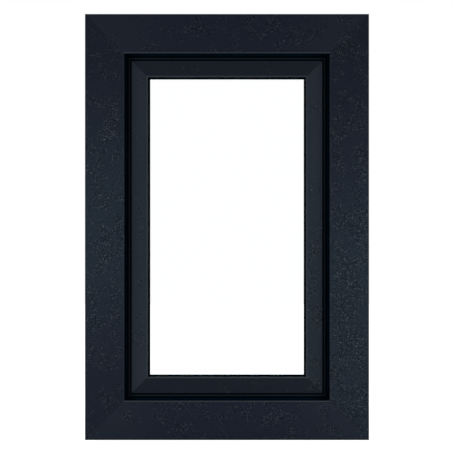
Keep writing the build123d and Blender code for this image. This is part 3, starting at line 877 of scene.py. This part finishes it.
def lever_path(low, high):
    """Centre line of the lever: out from the rose, round the elbow and down to the tip."""
    middle_x = (low.x + high.x) / 2
    spindle_z = high.z - (high.x - low.x) * NECK_SHARE / 2
    grip_y = high.y - GRIP_INSET
    root = Vector((middle_x, low.y, spindle_z))
    bend_start = root + Vector((0, NECK_RUN, 0))
    bend_end = Vector((middle_x, grip_y, spindle_z - BEND_DROP))
    tip = Vector((middle_x, grip_y - GRIP_LEAN, low.z))
    start_pull = bend_start + Vector((0, BEND_PULL, 0))
    end_pull = bend_end + Vector((0, BEND_BULGE, BEND_PULL))
    neck = [root.lerp(bend_start, step / NECK_STEPS) for step in range(NECK_STEPS)]
    bend = interpolate_bezier(bend_start, start_pull, end_pull, bend_end, BEND_STEPS)
    shares = [1 - (1 - step / GRIP_STEPS) ** 2 for step in range(1, GRIP_STEPS + 1)]
    return neck + bend + [bend_end.lerp(tip, share) for share in shares]


def lever_ring(shape, centre, outward, wide, thick, squareness):
    """One ring of the lever's shell, between an ellipse and a rectangle."""
    ring = []
    for step in range(LEVER_SEGMENTS):
        angle = 2 * math.pi * step / LEVER_SEGMENTS
        across = signed_power(math.cos(angle), squareness) * wide
        out = outward * signed_power(math.sin(angle), squareness) * thick
        ring.append(shape.verts.new(centre + Vector((across, 0, 0)) + out))
    return ring


def lever_mesh(name, path, lever_half_width):
    """A shell round the path: round at the rose, waisted, flat along the grip, rounded at the tip."""
    shape = bmesh.new()
    total = sum((after - before).length for before, after in zip(path, path[1:]))
    rings, run = [], 0.0
    for index, centre in enumerate(path):
        before, after = path[max(index - 1, 0)], path[min(index + 1, len(path) - 1)]
        outward = (after - before).normalized().cross(Vector((1, 0, 0)))
        run += (centre - path[index - 1]).length if index else 0.0
        share = run / total
        flat = smooth_step(share, *FLATTENING)
        wide = lever_half_width * WIDTH_AT_ROSE
        for change, start, end in WIDTH_CHANGES:
            wide += lever_half_width * change * smooth_step(share, start, end)
        thick = wide + (lever_half_width * GRIP_THICKNESS - wide) * flat
        into_tip = max(0.0, 1.0 - (total - run) / TIP_LENGTH)
        closing = math.sqrt(max(0.0, 1.0 - into_tip**TIP_ROUNDNESS))
        if closing < TIP_POINT:
            rings.append([shape.verts.new(centre)])
            continue
        squareness = 1.0 - GRIP_SQUARENESS * flat
        rings.append(lever_ring(shape, centre, outward, wide * closing, thick * closing, squareness))
    shape.faces.new(rings[0])
    for lower, upper in zip(rings, rings[1:]):
        for step in range(LEVER_SEGMENTS):
            after = (step + 1) % LEVER_SEGMENTS
            corners = [lower[step], lower[after], upper[after % len(upper)], upper[step % len(upper)]]
            shape.faces.new(list(dict.fromkeys(corners)))
    bmesh.ops.recalc_face_normals(shape, faces=shape.faces)
    for face in shape.faces:
        face.smooth = len(face.verts) < LEVER_SEGMENTS
    mesh = bpy.data.meshes.new(name)
    shape.to_mesh(mesh)
    shape.free()
    return mesh


def handle_grip(material):
    """The cast lever with its soft curves, in place of the plain one."""
    low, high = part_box("handle_lever")
    mesh = lever_mesh("handle_grip", lever_path(low, high), (high.x - low.x) / 2)
    mesh.materials.append(material)
    piece = add_object("handle_grip", mesh)
    settle(piece)
    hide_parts("handle_lever")


# Studio


def set_camera(scene, settings):
    """A long lens straight in front of the window's middle."""
    data = bpy.data.cameras.new("camera")
    data.sensor_width = SENSOR_WIDTH
    data.lens = SENSOR_WIDTH * settings.camera_distance / settings.view_width
    data.clip_end = 100.0
    camera = add_object("camera", data)
    camera.location = (0, outside_y - settings.camera_distance, window_centre_z)
    camera.rotation_euler = (math.pi / 2, 0, 0)
    scene.camera = camera


def pale_floor(settings):
    """A floor material that looks white, and darker only in the window's shadow."""
    finish = Finish("pale_floor")
    finish.tree.nodes.remove(finish.shader)
    lit = finish.node("ShaderNodeBsdfDiffuse", {"Color": FLOOR_TONE}).outputs[0]
    distance = finish.node("ShaderNodeVectorMath", {0: finish.place}, operation="LENGTH")
    near, far = settings.shadow_reach, settings.shadow_reach * 2
    fade = finish.between(distance.outputs["Value"], near, far, settings.floor_glow, 1.0)
    glow = finish.node("ShaderNodeEmission", {"Strength": fade}).outputs[0]
    both = finish.node("ShaderNodeAddShader", {0: lit, 1: glow}).outputs[0]
    finish.mix_shaders(finish.seen_rays(), lit, both, finish.surface)
    return finish.material


def set_floor(settings):
    """A large floor just under the window."""
    mesh = bpy.data.meshes.new("floor")
    corners = ((-1, -1), (1, -1), (1, 1), (-1, 1))
    points = [(x * FLOOR_REACH, y * FLOOR_REACH, FLOOR_LEVEL) for x, y in corners]
    mesh.from_pydata(points, [], [(0, 1, 2, 3)])
    mesh.materials.append(pale_floor(settings))
    add_object("floor", mesh)


def set_sky(scene, settings):
    """A white sky to look at, and a softer one to light the window."""
    world = bpy.data.worlds.new("studio_sky")
    world.use_nodes = True
    sky = Nodes(world.node_tree)
    surface = sky.tree.nodes["World Output"].inputs["Surface"]
    shown, lighting = (
        sky.node("ShaderNodeBackground", {"Color": WHITE, "Strength": strength}).outputs[0]
        for strength in (1.0, settings.sky_strength)
    )
    sky.tree.nodes.remove(sky.tree.nodes["Background"])
    sky.mix_shaders(sky.seen_rays(), lighting, shown, surface)
    scene.world = world


def add_lamp(name, place, aim, size, watts, mirrored):
    """A soft rectangular lamp aimed at a place, which gloss and glass mirror or don't."""
    data = bpy.data.lights.new(name, "AREA")
    data.shape = "RECTANGLE"
    data.size, data.size_y = size
    data.energy = watts
    lamp = add_object(name, data)
    lamp.location = place
    lamp.rotation_euler = (Vector(aim) - Vector(place)).to_track_quat("-Z", "Y").to_euler()
    lamp.visible_camera = False
    lamp.visible_glossy = mirrored
    lamp.visible_transmission = mirrored


def set_lamps(settings):
    """A lamp beside the window on the left and the right, and one for the room side."""
    middle = window_centre_z
    watts = settings.side_lamp_power
    for name, side, height in (("left_lamp", -1, middle), ("right_lamp", 1, middle - RIGHT_LAMP_DROP)):
        place = (side * SIDE_LAMP_OUT, outside_y - SIDE_LAMP_FRONT, height)
        aim = (side * SIDE_LAMP_AIM, outside_y, height)
        add_lamp(name, place, aim, SIDE_LAMP_SIZE, watts, False)
    watts = settings.room_lamp_power
    add_lamp("room_lamp", ROOM_LAMP_PLACE, (0, 0, middle), ROOM_LAMP_SIZE, watts, True)


# Operators


class WINDOW_OT_set_studio(bpy.types.Operator):
    """Sets the camera, the floor, the sky and the lamps"""

    bl_idname = "window.set_studio"
    bl_label = "Set Studio"

    def execute(self, context):
        settings = context.scene.window_studio
        context.scene.view_settings.view_transform = "Standard"
        set_camera(context.scene, settings)
        set_floor(settings)
        set_sky(context.scene, settings)
        set_lamps(settings)
        return {"FINISHED"}


class WINDOW_OT_coat_profiles(bpy.types.Operator):
    """Gives frame, sash and beads their grained foil"""

    bl_idname = "window.coat_profiles"
    bl_label = "Coat Profiles"

    def execute(self, context):
        settings = context.scene.window_finish
        for name, pieces, sides, tone, end_tone, specks, frame_highlight_share in FOILS:
            tones = tuple(getattr(settings, tone)), tuple(getattr(settings, end_tone))
            material = foil(name, *tones, sides == JAMBS, specks, frame_highlight_share, settings)
            coat(each_side(*pieces, sides=sides), material)
        return {"FINISHED"}


class WINDOW_OT_coat_seals(bpy.types.Operator):
    """Gives the gaskets their black rubber"""

    bl_idname = "window.coat_seals"
    bl_label = "Coat Seals"

    def execute(self, context):
        settings = context.scene.window_finish
        # The stop gasket gets a lighter copy of the gasket rubber, painted light
        coat(each_side("stop_gasket"), rubber("stop_rubber", tuple(settings.seal_lit_tone)))
        black = rubber("gasket_rubber", tuple(settings.rubber_tone))
        coat(each_side("lap_gasket", "glazing_gasket", "bead_gasket"), black)
        return {"FINISHED"}


class WINDOW_OT_glaze(bpy.types.Operator):
    """Gives the glass unit its glass, spacer and setting blocks, and cuts the spacer's slits"""

    bl_idname = "window.glaze"
    bl_label = "Glaze"

    def execute(self, context):
        settings = context.scene.window_finish
        coat(("outer_pane", "inner_pane"), glass(settings))
        for name, sides, grain in (
            ("spacer_rail", RAILS, (0.05, 1, 1)),
            ("spacer_jamb", JAMBS, (1, 1, 0.05)),
        ):
            rolled = metal(name, tuple(settings.spacer_tone), grain, 0.5 * MM, 0.3, 0.02 * MM)
            coat(each_side("spacer", sides=sides), rolled)
        coat(["setting_blocks"], moulded("block_plastic", tuple(settings.block_tone), 0.45))
        spacer_slits(context.scene.window_detail, moulded("slit_shadow", SLIT_TONE, 0.7))
        return {"FINISHED"}


class WINDOW_OT_coat_steels(bpy.types.Operator):
    """Gives the steel tubes and the locking gear their zinc"""

    bl_idname = "window.coat_steels"
    bl_label = "Coat Steels"

    def execute(self, context):
        zinc = tuple(context.scene.window_finish.zinc_tone)
        coat(["frame_steels", "sash_steels"], galvanised(zinc))
        coat(["gear_rails"], metal("gear_zinc", zinc, (1, 1, 0.1), 0.6 * MM, 0.35, 0.02 * MM))
        return {"FINISHED"}


class WINDOW_OT_fit_handle(bpy.types.Operator):
    """Finishes the handle's rose and shapes its lever"""

    bl_idname = "window.fit_handle"
    bl_label = "Fit Handle"

    def execute(self, context):
        tone = tuple(context.scene.window_finish.handle_tone)
        anodised = metal("handle_anodised", tone, (1, 1, 0.12), 0.35 * MM, 0.34, 0.015 * MM)
        coat(["handle_rose"], anodised)
        handle_grip(anodised)
        return {"FINISHED"}


class WINDOW_OT_fit_hinges(bpy.types.Operator):
    """Finishes the hinges' leaves and sets their screws and pins"""

    bl_idname = "window.fit_hinges"
    bl_label = "Fit Hinges"

    def execute(self, context):
        settings = context.scene.window_finish
        leaves = [f"{end}_hinge_{leaf}_leaf" for end in HINGE_ENDS for leaf in ("frame", "sash")]
        coat(leaves, powder_coat(tuple(settings.hinge_tone)))
        screw = metal("screw_zinc", tuple(settings.zinc_tone), (1, 1, 1), 0.8 * MM, 0.28, 0.01 * MM)
        hinge_screws(context.scene.window_detail, screw)
        hinge_pins(context.scene.window_detail, screw)
        return {"FINISHED"}


# Panel and registration


class WINDOW_PT_finishes(bpy.types.Panel):
    """The window's finishes, small parts and studio"""

    bl_idname = "WINDOW_PT_finishes"
    bl_label = "PVC Window"
    bl_space_type = "VIEW_3D"
    bl_region_type = "UI"
    bl_category = "Window"

    def draw(self, context):
        for name, group in GROUPS.items():
            box = self.layout.box()
            box.label(text=group.__doc__)
            for key in group.__annotations__:
                box.prop(getattr(context.scene, name), key)
        for operator in OPERATORS:
            self.layout.operator(operator.bl_idname)


OPERATORS = (
    WINDOW_OT_set_studio,
    WINDOW_OT_coat_profiles,
    WINDOW_OT_coat_seals,
    WINDOW_OT_glaze,
    WINDOW_OT_coat_steels,
    WINDOW_OT_fit_handle,
    WINDOW_OT_fit_hinges,
)
GROUPS = {
    "window_finish": FinishSettings,
    "window_detail": DetailSettings,
    "window_studio": StudioSettings,
}


def register():
    """Registers the settings, the operators and the panel."""
    for name, group in GROUPS.items():
        bpy.utils.register_class(group)
        setattr(bpy.types.Scene, name, bpy.props.PointerProperty(type=group))
    for operator in OPERATORS:
        bpy.utils.register_class(operator)
    bpy.utils.register_class(WINDOW_PT_finishes)


def unregister():
    """Takes away what register added."""
    bpy.utils.unregister_class(WINDOW_PT_finishes)
    for operator in reversed(OPERATORS):
        bpy.utils.unregister_class(operator)
    for name, group in reversed(GROUPS.items()):
        delattr(bpy.types.Scene, name)
        bpy.utils.unregister_class(group)


def main():
    register()
    bpy.ops.window.set_studio()
    bpy.ops.window.coat_profiles()
    bpy.ops.window.coat_seals()
    bpy.ops.window.glaze()
    bpy.ops.window.coat_steels()
    bpy.ops.window.fit_handle()
    bpy.ops.window.fit_hinges()


if __name__ == "__main__":
    main()
